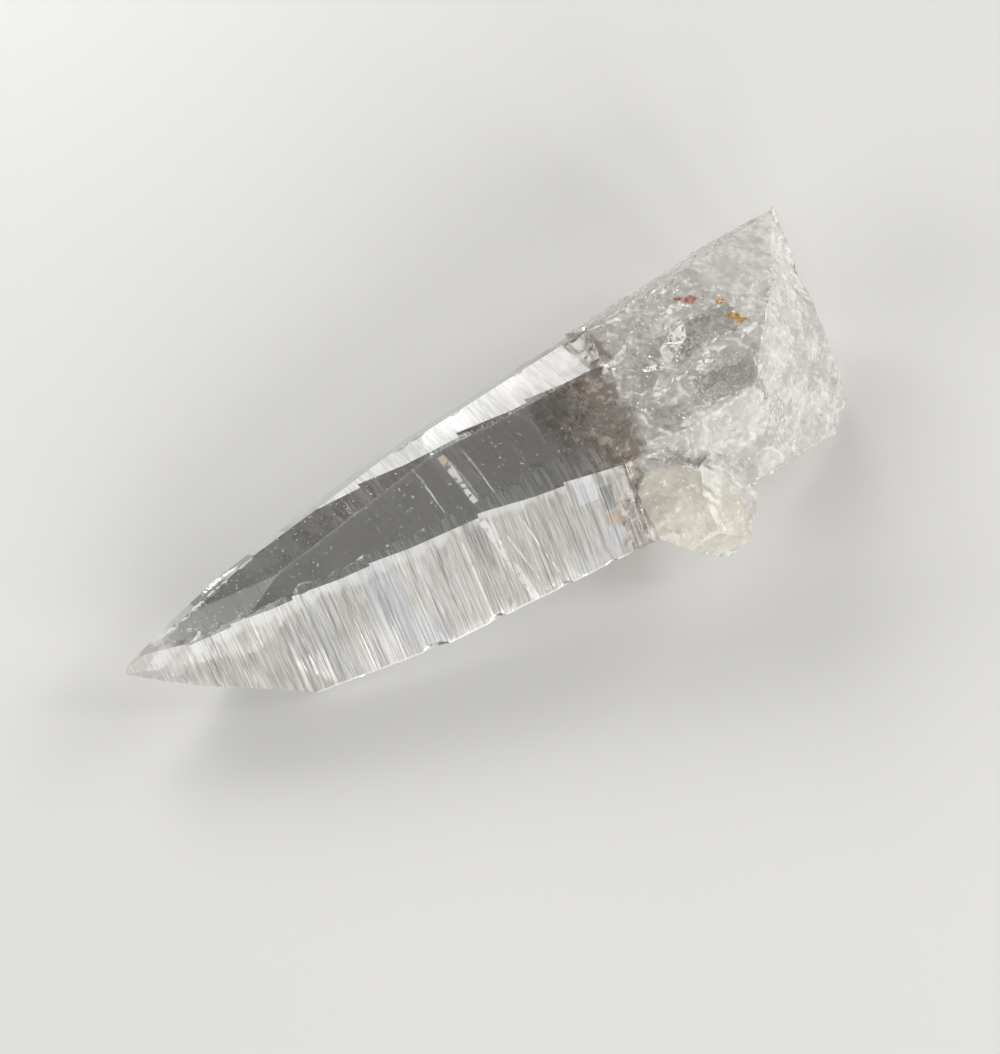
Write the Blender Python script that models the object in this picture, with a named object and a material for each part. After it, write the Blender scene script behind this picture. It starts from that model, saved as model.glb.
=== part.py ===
"""A clear tapering crystal lying on its side, with its broken root and the small crystals on it.

The long axis runs along X with the point at -X. The broad top face looks up (+Z) and the
silvery front face looks along -Y. Places are in millimetres until the blocks are made, and
the finished crystal is set down with the middle of its box over the origin.
"""

import math
import random

import bmesh
import bpy
from mathutils import Matrix, Vector, noise

MM = 0.001
NAME = "crystal_blade"

# The block that the blade is cleaved from, longer than the crystal each way.
BLOCK = (130.0, 60.0, 60.0)
BLOCK_CENTRE = (0.0, 0.0, 20.0)
# Corners this near a cutting plane count as lying on it.
SNAP = 1e-7

# The blade's faces: a point that each goes through, and the way it looks.
BLADE_FACES = {
    "top": ((-9.0, -3.7, 15.3), (-0.154, 0.074, 0.985)),
    "top_sliver": ((-6.7, 5.3, 15.05), (-0.12, 0.30, 0.94)),
    "ridge_bevel_root": ((-9.0, -3.7, 15.3), (-0.178, -0.40, 0.90)),
    "ridge_bevel_point": ((-20.5, -1.7, 13.4), (-0.209, -0.40, 0.90)),
    "front": ((-12.1, -9.0, 8.45), (-0.23, -0.76, 0.61)),
    "point_front": ((-49.7, 3.0, 7.0), (-0.39, -0.66, 0.64)),
    "point_back": ((-48.45, 4.2, 7.5), (-0.307, 0.624, -0.717)),
    "point_end": ((-48.45, 4.2, 7.5), (-0.69, 0.72, 0.10)),
    "under_point": ((-49.7, 3.0, 7.0), (-0.405, -0.252, -0.879)),
    "under_front_point": ((-31.0, -8.6, 1.7), (-0.10, -0.74, -0.665)),
    "under_front_root": ((-17.0, -12.0, 3.1), (0.011, -0.747, -0.665)),
    "back_root": ((-10.2, 8.2, 14.3), (-0.083, 0.827, 0.557)),
    "back_middle": ((-29.8, 6.6, 11.3), (-0.154, 0.805, 0.573)),
    "back_point": ((-29.8, 6.6, 11.3), (-0.237, 0.718, 0.655)),
    "under_back_root": ((0.0, 13.7, 8.2), (0.05, 0.891, -0.45)),
    "under_back_middle": ((-28.4, 9.8, 7.6), (-0.126, 0.888, -0.442)),
    "under_back_point": ((-28.4, 9.8, 7.6), (-0.196, 0.869, -0.456)),
    "root_end": ((21.0, 8.0, 10.0), (0.97, -0.243, 0.0)),
}

# Growth steps across the blade: where each starts, how long its ramp is and how deep it cuts.
GROWTH_STEPS = {
    "front": (
        (-37.0, 5.0, 0.16), (-29.5, 6.0, 0.18), (-20.0, 5.0, 0.14), (-6.5, 7.0, 0.22),
        (4.0, 6.0, 0.18),
    ),
    "top": (
        (-35.0, 6.0, 0.14), (-25.5, 5.0, 0.12), (-15.5, 6.0, 0.16), (-2.5, 7.0, 0.20),
        (6.5, 5.0, 0.15),
    ),
    "under_point": ((-45.5, 3.5, 0.18), (-40.0, 3.0, 0.20), (-35.0, 3.5, 0.18)),
    "under_back_root": ((-6.0, 6.0, 0.18), (5.0, 6.0, 0.20)),
}
STEP_REACH = 40.0
# A wedge runs on past its ramp by this share, and stands this high above the face.
STEP_OVERRUN = 1.3
STEP_HEIGHT = 2.0

# The corners of the broken root, which stands a little proud of the blade's faces.
ROOT_CORNERS = (
    (17.6, 8.3, 18.9), (16.4, 0.0, 19.3), (15.4, -5.6, 19.7), (14.6, -9.2, 18.5),
    (20.0, -10.6, 18.9), (22.1, -9.9, 19.8), (24.9, -5.7, 21.1), (29.1, -10.6, 20.6),
    (34.2, -5.5, 22.6), (34.1, -1.7, 22.4), (32.7, 7.8, 21.4), (51.3, 14.1, 14.5),
    (49.4, 9.0, 14.5), (47.3, 4.6, 14.2), (47.2, -2.8, 9.5), (48.2, -6.9, 3.0),
    (48.0, -8.7, 0.9), (43.5, -12.0, 0.9), (37.7, -13.7, 4.0), (31.1, -16.3, 9.5),
    (26.6, -16.6, 9.5), (19.0, 14.2, 10.4), (39.7, 14.4, 13.2), (19.5, 10.1, -1.5),
    (43.5, 6.5, -1.5), (45.0, -9.0, -1.5), (17.5, -8.0, -1.5), (14.0, -12.2, 3.3),
)
# The root is cut along planes this far apart, the first of them off the corners by a share.
ROOT_GRAIN = 1.9
GRAIN_OFFSET = 0.37

# Where the broken end's ripples begin along X, and where the broken top stops.
END_FROM = (33.5, 37.0)
TOP_BREAK_TO = (26.0, 30.0)
TOP_BREAK_BACK = (-10.0, -6.0)
# How closely the ripples, lumps and grit follow each other, in turns to the millimetre.
RIPPLE_PULL = (0.55, 0.12, 0.55)
LUMP_PULL = 0.33
GRIT_PULL = 0.9
# How far each of them lifts the surface, in millimetres.
LUMPS = 0.16
END_RIPPLES = 0.55
END_GRIT = 0.20
TOP_GRIT = 0.30

# The side crystal with its own flat end, and the stubby one beside it.
SIDE_CORNERS = (
    (14.1, -19.7, 9.0), (16.7, -20.0, 11.0), (17.7, -20.7, 11.0), (21.6, -21.5, 7.5),
    (22.2, -21.5, 7.0), (19.5, -21.2, 4.5), (17.4, -20.7, 5.9), (18.3, -14.0, 15.0),
    (24.7, -19.0, 9.0), (25.3, -17.8, 10.0), (26.1, -17.0, 10.5), (24.0, -12.0, 15.0),
    (22.0, -11.0, 5.0), (15.0, -12.0, 4.0),
)
STUB_CORNERS = (
    (13.3, -9.8, 17.0), (15.9, -11.1, 16.4), (17.6, -13.0, 15.8), (19.0, -14.6, 15.0),
    (11.5, -10.8, 15.1), (12.0, -12.6, 12.2), (12.2, -14.4, 10.6), (11.2, -17.0, 11.0),
    (11.6, -17.4, 10.4), (14.1, -19.7, 9.0), (16.5, -19.6, 11.3), (20.0, -12.0, 14.0),
    (14.0, -12.0, 6.0), (20.0, -10.0, 8.0),
)

# Shell-shaped breaks in the root's top: a point on the surface, the shell's radius, its depth.
SHELL_BREAKS = (
    ((22.5, 1.5, 19.9), 11.0, 0.8),
    ((18.5, -3.0, 19.5), 8.0, 0.7),
    ((24.8, -2.8, 20.7), 7.0, 0.5),
    ((19.3, 4.4, 19.2), 8.0, 0.6),
    ((19.0, -8.6, 19.2), 7.0, 0.5),
)
UP = (-0.15, 0.07, 0.98)
# Bites out of the right-hand edge of the broken end.
END_BITES = (
    ((46.9, 3.6, 14.0), (0.9, -0.2, 0.35), 9.0, 1.4),
    ((47.0, -0.8, 11.8), (0.9, -0.3, 0.3), 5.0, 0.9),
    ((49.9, 9.9, 14.6), (0.9, -0.1, 0.4), 5.0, 0.5),
    ((41.5, -12.6, 3.0), (0.4, -0.9, 0.1), 6.0, 0.5),
)

# Small chips: the two ends of the edge that they follow, how many, and their radii.
CHIPPED_EDGES = (
    ((-43.3, 1.7, 9.6), (-13.0, -3.2, 14.7), 10, (1.6, 3.4)),
    ((-46.0, 3.3, 8.9), (-30.0, 6.6, 11.3), 9, (0.9, 1.8)),
    ((-20.0, 8.5, 12.3), (10.0, 9.1, 16.0), 5, (1.6, 3.0)),
    ((-27.0, -9.8, 2.2), (8.0, -15.7, 7.5), 5, (1.6, 3.0)),
)
CHIP_DEPTH = (0.16, 0.32)
# Chips face away from this line along the blade, and lean a little either way along it.
BLADE_AXIS = Vector((0.0, 1.0, 7.0))
CHIP_LEAN = (-0.3, 0.3)
# How far a break's surface strays from a true ball, as a share of its radius, and how often.
SHELL_WAVE = 0.05
SHELL_WAVES = 2.5
# Corners closer than this after the cuts become one.
WELD = 0.01


def clear_scene():
    for item in list(bpy.data.objects):
        bpy.data.objects.remove(item, do_unlink=True)


def collection(name):
    made = bpy.data.collections.new(name)
    bpy.context.scene.collection.children.link(made)
    return made


def as_object(bm, name, home):
    """Turns a mesh in millimetres into an object in metres."""
    bmesh.ops.scale(bm, vec=(MM, MM, MM), verts=bm.verts)
    bmesh.ops.recalc_face_normals(bm, faces=bm.faces)
    mesh = bpy.data.meshes.new(name)
    bm.to_mesh(mesh)
    bm.free()
    made = bpy.data.objects.new(name, mesh)
    home.objects.link(made)
    return made


def cleave(bm, through, facing):
    """Splits the block along a flat face and drops what lies in front of it."""
    everything = bm.verts[:] + bm.edges[:] + bm.faces[:]
    cut = bmesh.ops.bisect_plane(
        bm, geom=everything, dist=SNAP, plane_co=through, plane_no=facing, clear_outer=True
    )
    rim = [part for part in cut["geom_cut"] if isinstance(part, bmesh.types.BMEdge)]
    if rim:
        bmesh.ops.contextual_create(bm, geom=rim)


def blade_block():
    bm = bmesh.new()
    bmesh.ops.create_cube(bm, size=1.0)
    bmesh.ops.scale(bm, vec=BLOCK, verts=bm.verts)
    bmesh.ops.translate(bm, vec=BLOCK_CENTRE, verts=bm.verts)
    for through, facing in BLADE_FACES.values():
        cleave(bm, Vector(through), Vector(facing).normalized())
    return bm


def hull(corners):
    bm = bmesh.new()
    for corner in corners:
        bm.verts.new(corner)
    result = bmesh.ops.convex_hull(bm, input=bm.verts)
    bmesh.ops.delete(bm, geom=result["geom_interior"], context="VERTS")
    return bm


def slice_every(bm, step):
    """Cuts the faces along evenly spaced planes, so that there is something to roughen."""
    for axis in (Vector((1, 0, 0)), Vector((0, 1, 0)), Vector((0, 0, 1))):
        places = [vert.co.dot(axis) for vert in bm.verts]
        first = math.floor(min(places) / step) + 1
        for index in range(first, math.ceil(max(places) / step)):
            everything = bm.verts[:] + bm.edges[:] + bm.faces[:]
            bmesh.ops.bisect_plane(
                bm,
                geom=everything,
                dist=1e-4,
                plane_co=axis * (index + GRAIN_OFFSET) * step,
                plane_no=axis,
            )


def blend(low, high, value):
    """0 below low, 1 above high, and a smooth rise between them."""
    part = min(1.0, max(0.0, (value - low) / (high - low)))
    return part * part * (3 - 2 * part)


def root_relief(place):
    """How far the broken root's surface is lifted here: ripples on its end, lumps elsewhere."""
    end = blend(*END_FROM, place.x)
    broken = (1 - blend(*TOP_BREAK_TO, place.x)) * blend(*TOP_BREAK_BACK, place.y)
    ripples = noise.noise(Vector([pull * part for pull, part in zip(RIPPLE_PULL, place)]))
    lumps = noise.noise(place * LUMP_PULL)
    grit = noise.noise(place * GRIT_PULL)
    lift = LUMPS * lumps + end * (END_RIPPLES * ripples + END_GRIT * grit)
    return lift + broken * TOP_GRIT * grit


def root_block():
    bm = hull(ROOT_CORNERS)
    bmesh.ops.dissolve_limit(bm, angle_limit=math.radians(1.0), verts=bm.verts, edges=bm.edges)
    slice_every(bm, ROOT_GRAIN)
    bmesh.ops.recalc_face_normals(bm, faces=bm.faces)
    bm.normal_update()
    moves = {vert: vert.normal * root_relief(vert.co) for vert in bm.verts}
    for vert, move in moves.items():
        vert.co += move
    bmesh.ops.triangulate(bm, faces=bm.faces)
    return bm


def growth_step(face, start, ramp, depth):
    """A thin wedge that leaves a step facing the point, and runs out again along its ramp."""
    through, facing = (Vector(part) for part in BLADE_FACES[face])
    facing.normalize()
    along = (Vector((1, 0, 0)) - facing * facing.x).normalized()
    across = facing.cross(along)
    bm = bmesh.new()
    bmesh.ops.create_cube(bm, size=1.0)
    end = ramp * STEP_OVERRUN
    for vert in bm.verts:
        reach = end if vert.co.x > 0 else 0.0
        floor = depth * (reach / ramp - 1.0)
        height = floor if vert.co.z < 0 else floor + STEP_HEIGHT
        vert.co = Vector((reach, vert.co.y * STEP_REACH, height))
    middle = through + along * ((start - through.x) / along.x)
    turn = Matrix((along, across, facing)).transposed().to_4x4()
    bmesh.ops.transform(bm, matrix=Matrix.Translation(middle) @ turn, verts=bm.verts)
    return bm


def shell(place, outward, radius, depth):
    """A ball that dips the given depth into the surface at this place."""
    bm = bmesh.new()
    centre = Vector(place) + Vector(outward).normalized() * (radius - depth)
    bmesh.ops.create_icosphere(bm, subdivisions=3, radius=radius)
    for vert in bm.verts:
        vert.co *= 1 + SHELL_WAVE * noise.noise(vert.co * (SHELL_WAVES / radius) + centre)
    bmesh.ops.translate(bm, vec=centre, verts=bm.verts)
    return bm


def chips(rng):
    """Small shells along the worn edges, at uneven distances."""
    for start, end, count, (small, large) in CHIPPED_EDGES:
        for index in range(count):
            share = (index + rng.uniform(0.1, 0.9)) / count
            place = Vector(start).lerp(Vector(end), share)
            outward = place - BLADE_AXIS
            outward.x = rng.uniform(*CHIP_LEAN)
            yield shell(place, outward, rng.uniform(small, large), rng.uniform(*CHIP_DEPTH))


def combine(target, tool, operation):
    """Joins the tool to the target or cuts it out, and keeps the result as the target's mesh."""
    tool.hide_render = True
    tool.display_type = "WIRE"
    modifier = target.modifiers.new(tool.name, "BOOLEAN")
    modifier.operation = operation
    modifier.object = tool
    modifier.solver = "EXACT"
    graph = bpy.context.evaluated_depsgraph_get()
    mesh = bpy.data.meshes.new_from_object(target.evaluated_get(graph))
    target.modifiers.remove(modifier)
    target.data = mesh


def set_down(crystal):
    """Cuts the flat that the crystal rests on at z = 0, and puts the middle of its box there."""
    bm = bmesh.new()
    bm.from_mesh(crystal.data)
    cleave(bm, Vector((0.0, 0.0, 0.0)), Vector((0.0, 0.0, -1.0)))
    bmesh.ops.remove_doubles(bm, verts=bm.verts, dist=WELD * MM)
    bmesh.ops.triangulate(bm, faces=bm.faces)
    low = [min(vert.co[axis] for vert in bm.verts) for axis in range(3)]
    high = [max(vert.co[axis] for vert in bm.verts) for axis in range(3)]
    centre = Vector(((low[0] + high[0]) / 2, (low[1] + high[1]) / 2, low[2]))
    bmesh.ops.translate(bm, vec=-centre, verts=bm.verts)
    bm.to_mesh(crystal.data)
    bm.free()


def clear_crystal():
    """Colourless and see-through, with a faintly warm tint."""
    material = bpy.data.materials.new("clear_crystal")
    material.use_nodes = True
    surface = material.node_tree.nodes["Principled BSDF"]
    surface.inputs["Base Color"].default_value = (0.92, 0.91, 0.88, 1.0)
    surface.inputs["Roughness"].default_value = 0.05
    surface.inputs["Metallic"].default_value = 0.0
    surface.inputs["IOR"].default_value = 1.54
    surface.inputs["Transmission Weight"].default_value = 1.0
    return material


def main():
    clear_scene()
    home = collection(NAME)
    tools = collection("tools")
    crystal = as_object(blade_block(), NAME, home)
    for face, steps in GROWTH_STEPS.items():
        for index, (start, ramp, depth) in enumerate(steps):
            cutter = as_object(growth_step(face, start, ramp, depth), f"step_{face}_{index}", tools)
            combine(crystal, cutter, "DIFFERENCE")
    for name, block in (
        ("root", root_block()),
        ("side_crystal", hull(SIDE_CORNERS)),
        ("stub_crystal", hull(STUB_CORNERS)),
    ):
        combine(crystal, as_object(block, name, tools), "UNION")
    bites = [shell(place, UP, radius, depth) for place, radius, depth in SHELL_BREAKS]
    bites += [shell(*bite) for bite in END_BITES]
    bites += chips(random.Random(11))
    for index, bite in enumerate(bites):
        combine(crystal, as_object(bite, f"bite_{index}", tools), "DIFFERENCE")
    set_down(crystal)
    crystal.data.materials.clear()
    crystal.data.materials.append(clear_crystal())
    for tool in list(tools.objects):
        bpy.data.objects.remove(tool, do_unlink=True)


main()
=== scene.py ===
"""Dresses the clear crystal blade: its striped faces, its healed cracks and its broken, hazy root.

Places are millimetres in the frame's axes: +X runs from the point to the root, +Z is up, and
the front face, painted with a silvery sheen, looks along -Y. Meshes are made metres as they are finished.
"""

import math
import random
from types import SimpleNamespace

import bmesh
import bpy
from mathutils import Matrix, Vector, noise
from mathutils.bvhtree import BVHTree


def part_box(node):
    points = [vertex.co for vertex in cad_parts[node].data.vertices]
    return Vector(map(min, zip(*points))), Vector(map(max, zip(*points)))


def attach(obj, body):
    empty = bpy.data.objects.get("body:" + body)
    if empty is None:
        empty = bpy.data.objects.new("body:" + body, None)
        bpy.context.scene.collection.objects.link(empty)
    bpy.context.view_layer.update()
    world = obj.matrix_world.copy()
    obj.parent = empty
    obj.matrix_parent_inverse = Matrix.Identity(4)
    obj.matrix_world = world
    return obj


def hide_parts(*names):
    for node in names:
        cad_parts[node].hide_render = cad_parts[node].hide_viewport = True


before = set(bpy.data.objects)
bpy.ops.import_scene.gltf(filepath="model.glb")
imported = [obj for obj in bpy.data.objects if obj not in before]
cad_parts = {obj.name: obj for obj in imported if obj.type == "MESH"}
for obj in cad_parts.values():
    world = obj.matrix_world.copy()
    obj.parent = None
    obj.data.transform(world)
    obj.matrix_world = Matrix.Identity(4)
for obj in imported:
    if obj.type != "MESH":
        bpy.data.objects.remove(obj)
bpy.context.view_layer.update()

MM = 0.001
NODE = "crystal_blade"
LOW, HIGH = (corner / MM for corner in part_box(NODE))

# The camera looks at the blade's middle from above and from the left of its point.
AZIMUTH = math.radians(-33.0)
ELEVATION = math.radians(58.0)
LENS = 71.73
CAMERA_REACH = 262.5
AIM = Vector((-0.84, 3.44, 0.0))

# The faces that the photographed side shows: a point on each, and the way it looks.
TOP = (Vector((-9.84, -0.26, 15.3)), Vector((-0.154, 0.074, 0.985)).normalized())
FRONT = (Vector((-12.94, -5.56, 8.45)), Vector((-0.23, -0.76, 0.61)).normalized())
BEVELS = (
    (Vector((-9.84, -0.26, 15.3)), Vector((-0.178, -0.40, 0.90)).normalized()),
    (Vector((-21.34, 1.74, 13.4)), Vector((-0.209, -0.40, 0.90)).normalized()),
)
# The faces under the front one.
UNDER_EDGES = (
    (Vector((-31.84, -5.16, 1.7)), Vector((-0.10, -0.74, -0.665)).normalized()),
    (Vector((-17.84, -8.56, 3.1)), Vector((0.011, -0.747, -0.665)).normalized()),
)
# How far each face is rolled about the blade, in degrees: from, to, and how softly it ends.
FRONT_ROLL = (-85.0, -37.0, 2.0)
BEVEL_ROLL = (-37.0, -10.0, 3.0)
TOP_ROLL = (-10.0, 11.0, 1.5)
SLIVER_ROLL = (11.0, 32.0, 1.5)
STRIP_ROLL = (32.0, 80.0, 3.0)
# The ways that run along the front face and up it, and along the top and across it.
FRONT_ALONG, FRONT_UP = (0.971, -0.217, 0.096), (0.06, 0.61, 0.79)
TOP_ALONG, TOP_ACROSS = (0.98, -0.20, 0.17), (0.20, 0.97, -0.06)

# Where the blade ends and the broken root starts, and where the root's end face starts.
BLADE_END = 13.5
ROOT_END = 33.0
BUMP_DEPTH = 0.14
# The growth lines: the gaps between steps, a step's own length, and how deep it is at least and at most.
STEP_GAPS = (0.28, 0.35, 0.4, 0.6, 0.8)
STEP_LENGTH = 0.07
STEP_DEPTH, STEP_DEPTH_MORE = 0.012, 0.07
SMOOTH_SIDE_DEPTH = 0.12
ROOT_GRAIN = 0.45

# White cracks across the blade: the face, a middle, the way they run, half the length and half the width.
BANDS = (
    (TOP, (-6.6, 3.6, 15.5), (0.0, -1.0, 0.075), 4.1, 0.5),
    (TOP, (-10.25, 4.2, 14.9), (-0.03, -1.0, 0.07), 4.2, 0.08),
    (TOP, (-4.2, 3.2, 15.9), (-0.02, -1.0, 0.07), 4.0, 0.07),
    (FRONT, (-5.8, -6.5, 10.0), (0.218, -0.65, -0.728), 6.2, 0.42),
    (FRONT, (-4.3, -6.6, 10.2), (0.25, -0.64, -0.72), 5.2, 0.10),
    (FRONT, (-10.1, -6.1, 8.9), (0.02, -0.63, -0.78), 5.2, 0.12),
    (FRONT, (-2.0, -7.0, 11.0), (0.22, -0.65, -0.728), 4.4, 0.10),
)
# Painted reflections in bright and dark panes, and one stained pane, near the root end of the front face: a
# middle, half sizes, a tone.
REFLECTION_AND_STAIN_PANES = (
    ((5.3, -5.4, 15.2), (1.2, 1.9), (0.80, 0.82, 0.84, 1.0)),
    ((7.4, -7.2, 13.8), (0.75, 1.5), (0.16, 0.17, 0.18, 1.0)),
    ((7.4, -9.1, 11.7), (1.1, 0.7), (0.55, 0.38, 0.22, 1.0)),
    ((8.3, -10.9, 9.8), (1.2, 1.3), (0.70, 0.73, 0.80, 1.0)),
)
# Clear panes on the root: a middle and half sizes.
CLEAR_PANES = (
    ((27.5, 2.6, 21.0), (4.3, 2.1)),
    ((25.8, -4.9, 21.4), (4.0, 1.7)),
)
# Painted glints, bright highlights, gather about this place on the root.
GLINTS_AT = Vector((31.5, -8.6, 14.5))
# Rust spots on the root: a middle and how far they reach.
RUST_SPOTS = (
    ((29.0, 7.1, 21.05), 0.78),
    ((28.3, 7.8, 20.95), 0.42),
    ((27.8, 8.3, 20.8), 0.3),
    ((31.7, 4.8, 21.7), 0.55),
    ((31.8, 1.6, 21.9), 0.68),
    ((32.1, 0.7, 21.95), 0.5),
)
# Small cracks in the tip: a middle and a radius.
TIP_CRACKS = (
    ((-46.6, 5.3, 7.6), 0.8),
    ((-44.3, 5.4, 7.8), 0.5),
    ((-45.6, 5.2, 7.2), 0.4),
    ((-40.4, 4.9, 8.2), 0.5),
    ((-43.4, 5.6, 7.7), 0.6),
)
# The cracks in the root: how many, where they lie, how large, their rings and spokes, how close they come.
ROOT_CRACKS = (
    (16, (13.5, 27.0), (-9.0, 8.0), (11.0, 19.5), (1.6, 3.6), 7, 20, 0.75),
    (60, (13.0, 44.0), (-15.0, 14.0), (1.0, 19.0), (0.4, 1.3), 3, 9, 0.25),
)
CRACK_GAP = 0.015
# The dusty cracks: a point on each, the way it looks, and how far along the blade it reaches.
VEILS = (
    ((9.5, 0.0, 15.5), (0.55, -0.15, 0.80), (3.0, 14.0)),
    ((9.0, 0.0, 12.0), (0.72, -0.30, 0.60), (4.0, 15.0)),
    ((8.0, -6.0, 12.0), (0.35, -0.75, 0.55), (4.5, 14.0)),
    ((12.0, 0.0, 10.0), (0.97, -0.10, 0.20), (6.0, 16.0)),
)
# The cloudy cracks through the root.
CLOUDS = (
    ((24.0, 0.0, 15.0), (0.15, -0.35, 0.92), (14.0, 40.0)),
    ((30.0, 0.0, 11.0), (-0.25, -0.30, 0.92), (16.0, 47.0)),
    ((24.0, 0.0, 12.0), (0.80, -0.20, 0.55), (14.0, 36.0)),
    ((17.0, -12.0, 9.0), (0.45, -0.70, 0.55), (9.0, 30.0)),
)
STREAK_STEPS = 10
# White streaks across the top and the front: both ends, and how wide the group of them is.
TOP_STREAKS = (
    ((-6.9, 7.4, 15.2), (-7.0, -0.3, 15.75), 0.9, 9),
    ((-10.1, 8.3, 14.6), (-10.4, -0.1, 15.15), 0.12, 2),
    ((-4.15, 7.2, 15.65), (-4.3, -0.8, 16.15), 0.12, 2),
)
FRONT_STREAKS = (
    ((-7.0, -2.9, 14.0), (-4.4, -10.4, 5.6), 0.9, 9),
    ((-10.1, -2.8, 12.95), (-10.0, -9.3, 4.85), 0.25, 3),
    ((-5.6, -3.4, 13.6), (-1.9, -10.7, 6.1), 1.6, 5),
    ((-2.4, -4.6, 13.4), (-0.6, -9.0, 8.7), 0.7, 4),
    ((-9.0, -5.9, 9.0), (-7.6, -9.6, 5.1), 1.2, 4),
)

# The frosty glints: flakes in a square metre of the root's surface, their size and the middle they sink to.
FLAKES_PER_AREA = 3.6e6
FLAKE_SIZE = 0.00018
ROOT_MIDDLE = (0.030, 0.0, 0.0115)

CLEAR_IOR = 1.54
# What is left of white light after one metre, by the density of the tint.
TINT = (0.55, 0.53, 0.50, 1.0)
TINT_DENSITY = 10.0
CLEAR, CLEAR_YELLOWISH = (0.985, 0.985, 0.98, 1.0), (0.985, 0.965, 0.89, 1.0)
# The colours of the painted layer: haze, real stains and cracks, and the painted shade, sheen and highlights
# of the faces.
# The front face's painted silvery sheen, in stripes with blue-grey patches.
SILVER_SHEEN_DARK, SILVER_SHEEN_LIGHT = (0.36, 0.34, 0.305, 1.0), (0.66, 0.635, 0.575, 1.0)
BLUISH_SHEEN = (0.58, 0.62, 0.70, 1.0)
# White scratches; white on the chipped ledge, and a painted highlight along the front's low edge.
SCRATCH_WHITE, EDGE_WHITE_AND_HIGHLIGHT = (0.93, 0.92, 0.88, 1.0), (0.88, 0.88, 0.87, 1.0)
# Painted shade on the bevel, in stripes.
BEVEL_SHADE_DARK, BEVEL_SHADE_LIGHT = (0.16, 0.165, 0.17, 1.0), (0.42, 0.42, 0.42, 1.0)
# Painted shade on the top face, lighter along its growth lines.
TOP_SHADE_DARK, TOP_SHADE_LIGHT = (0.12, 0.125, 0.12, 1.0), (0.50, 0.49, 0.47, 1.0)
FLECK_WHITE = (0.85, 0.85, 0.83, 1.0)
# A painted highlight on the sliver, streaked.
SLIVER_HIGHLIGHT_GREY, SLIVER_HIGHLIGHT_WHITE = (0.70, 0.70, 0.68, 1.0), (0.97, 0.97, 0.95, 1.0)
# A painted highlight along the back strip, broken towards the point into dark and light dashes.
DASH_DARK, DASH_LIGHT = (0.10, 0.10, 0.10, 1.0), (0.93, 0.93, 0.91, 1.0)
STRIP_HIGHLIGHT = (0.80, 0.80, 0.78, 1.0)
BROWN_DARK, BROWN_LIGHT = (0.25, 0.19, 0.15, 1.0), (0.70, 0.62, 0.54, 1.0)
BAND_WHITE, BAND_ORANGE = (0.95, 0.94, 0.91, 1.0), (0.66, 0.47, 0.30, 1.0)
# The root's milky haze and the side crystals' yellowish tint, brighter on the fracture rings and the painted
# glints.
MILK, MILK_BRIGHT = (0.93, 0.895, 0.845, 1.0), (0.99, 0.985, 0.975, 1.0)
YELLOWISH, YELLOWISH_BRIGHT = (0.97, 0.925, 0.79, 1.0), (0.99, 0.98, 0.92, 1.0)
RUST_RED = ((0.14, 0.03, 0.01, 1.0), (0.50, 0.11, 0.02, 1.0))
RUST_GOLD = ((0.30, 0.13, 0.01, 1.0), (0.70, 0.38, 0.03, 1.0))
# The tip's whitish fractures, brownish between them; the white is partly a painted highlight of its facets.
TIP_BROWN, TIP_WHITE_AND_HIGHLIGHT = (0.66, 0.61, 0.58, 1.0), (0.97, 0.96, 0.95, 1.0)

# Each softbox: the way that it stands, its height in degrees, its distance, its size and its power.
SOFTBOXES = {
    "front_left": (-26.0, 18.0, 0.9, (0.13, 0.34), 2.2),
    "front_middle": (-6.0, 18.0, 0.9, (0.15, 0.34), 2.4),
    "front_right": (16.0, 18.0, 0.9, (0.13, 0.34), 2.2),
    "back_left": (168.0, 27.0, 0.9, (0.34, 0.30), 3.2),
    "back_right": (198.0, 27.0, 0.9, (0.34, 0.30), 2.9),
    "key": (62.0, 34.0, 0.9, (0.22, 0.22), 1.6),
    "left_low": (-90.0, 22.0, 0.9, (0.6, 0.30), 3.9),
    "right_low": (90.0, 22.0, 0.9, (0.6, 0.30), 3.9),
}
ROOM_LIGHT = 0.10
ROOM_COLOUR = (1.0, 0.98, 0.95, 1.0)
FLOOR_SIZE = 1500.0
FLOOR_DEPTH = 0.05


class Value:
    """A socket's value, which takes part in sums as a number does."""

    def __init__(self, graph, socket):
        self.graph = graph
        self.socket = socket

    def maths(self, operation, *others):
        inputs = dict(enumerate((self, *others)))
        return self.graph.add("ShaderNodeMath", {"operation": operation}, inputs)

    def __add__(self, other):
        return self.maths("ADD", other)

    def __sub__(self, other):
        return self.maths("SUBTRACT", other)

    def __mul__(self, other):
        return self.maths("MULTIPLY", other)

    def __pow__(self, other):
        return self.maths("POWER", other)

    def __rsub__(self, other):
        return self.graph.add("ShaderNodeMath", {"operation": "SUBTRACT"}, {0: other, 1: self})

    __radd__ = __add__
    __rmul__ = __mul__

    def smooth(self, low, high, first, last):
        inputs = {"Value": self, "From Min": low, "From Max": high, "To Min": first, "To Max": last}
        return self.graph.add("ShaderNodeMapRange", {"interpolation_type": "SMOOTHSTEP"}, inputs)

    def rise(self, low, high):
        """0 below low, 1 above high, smooth between them."""
        return self.smooth(low, high, 0.0, 1.0)

    def fall(self, low, high):
        """1 below low, 0 above high, smooth between them."""
        return self.smooth(low, high, 1.0, 0.0)

    def least(self, other):
        return self.maths("MINIMUM", other)

    def most(self, other):
        return self.maths("MAXIMUM", other)

    def size(self):
        return self.maths("ABSOLUTE")


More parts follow.
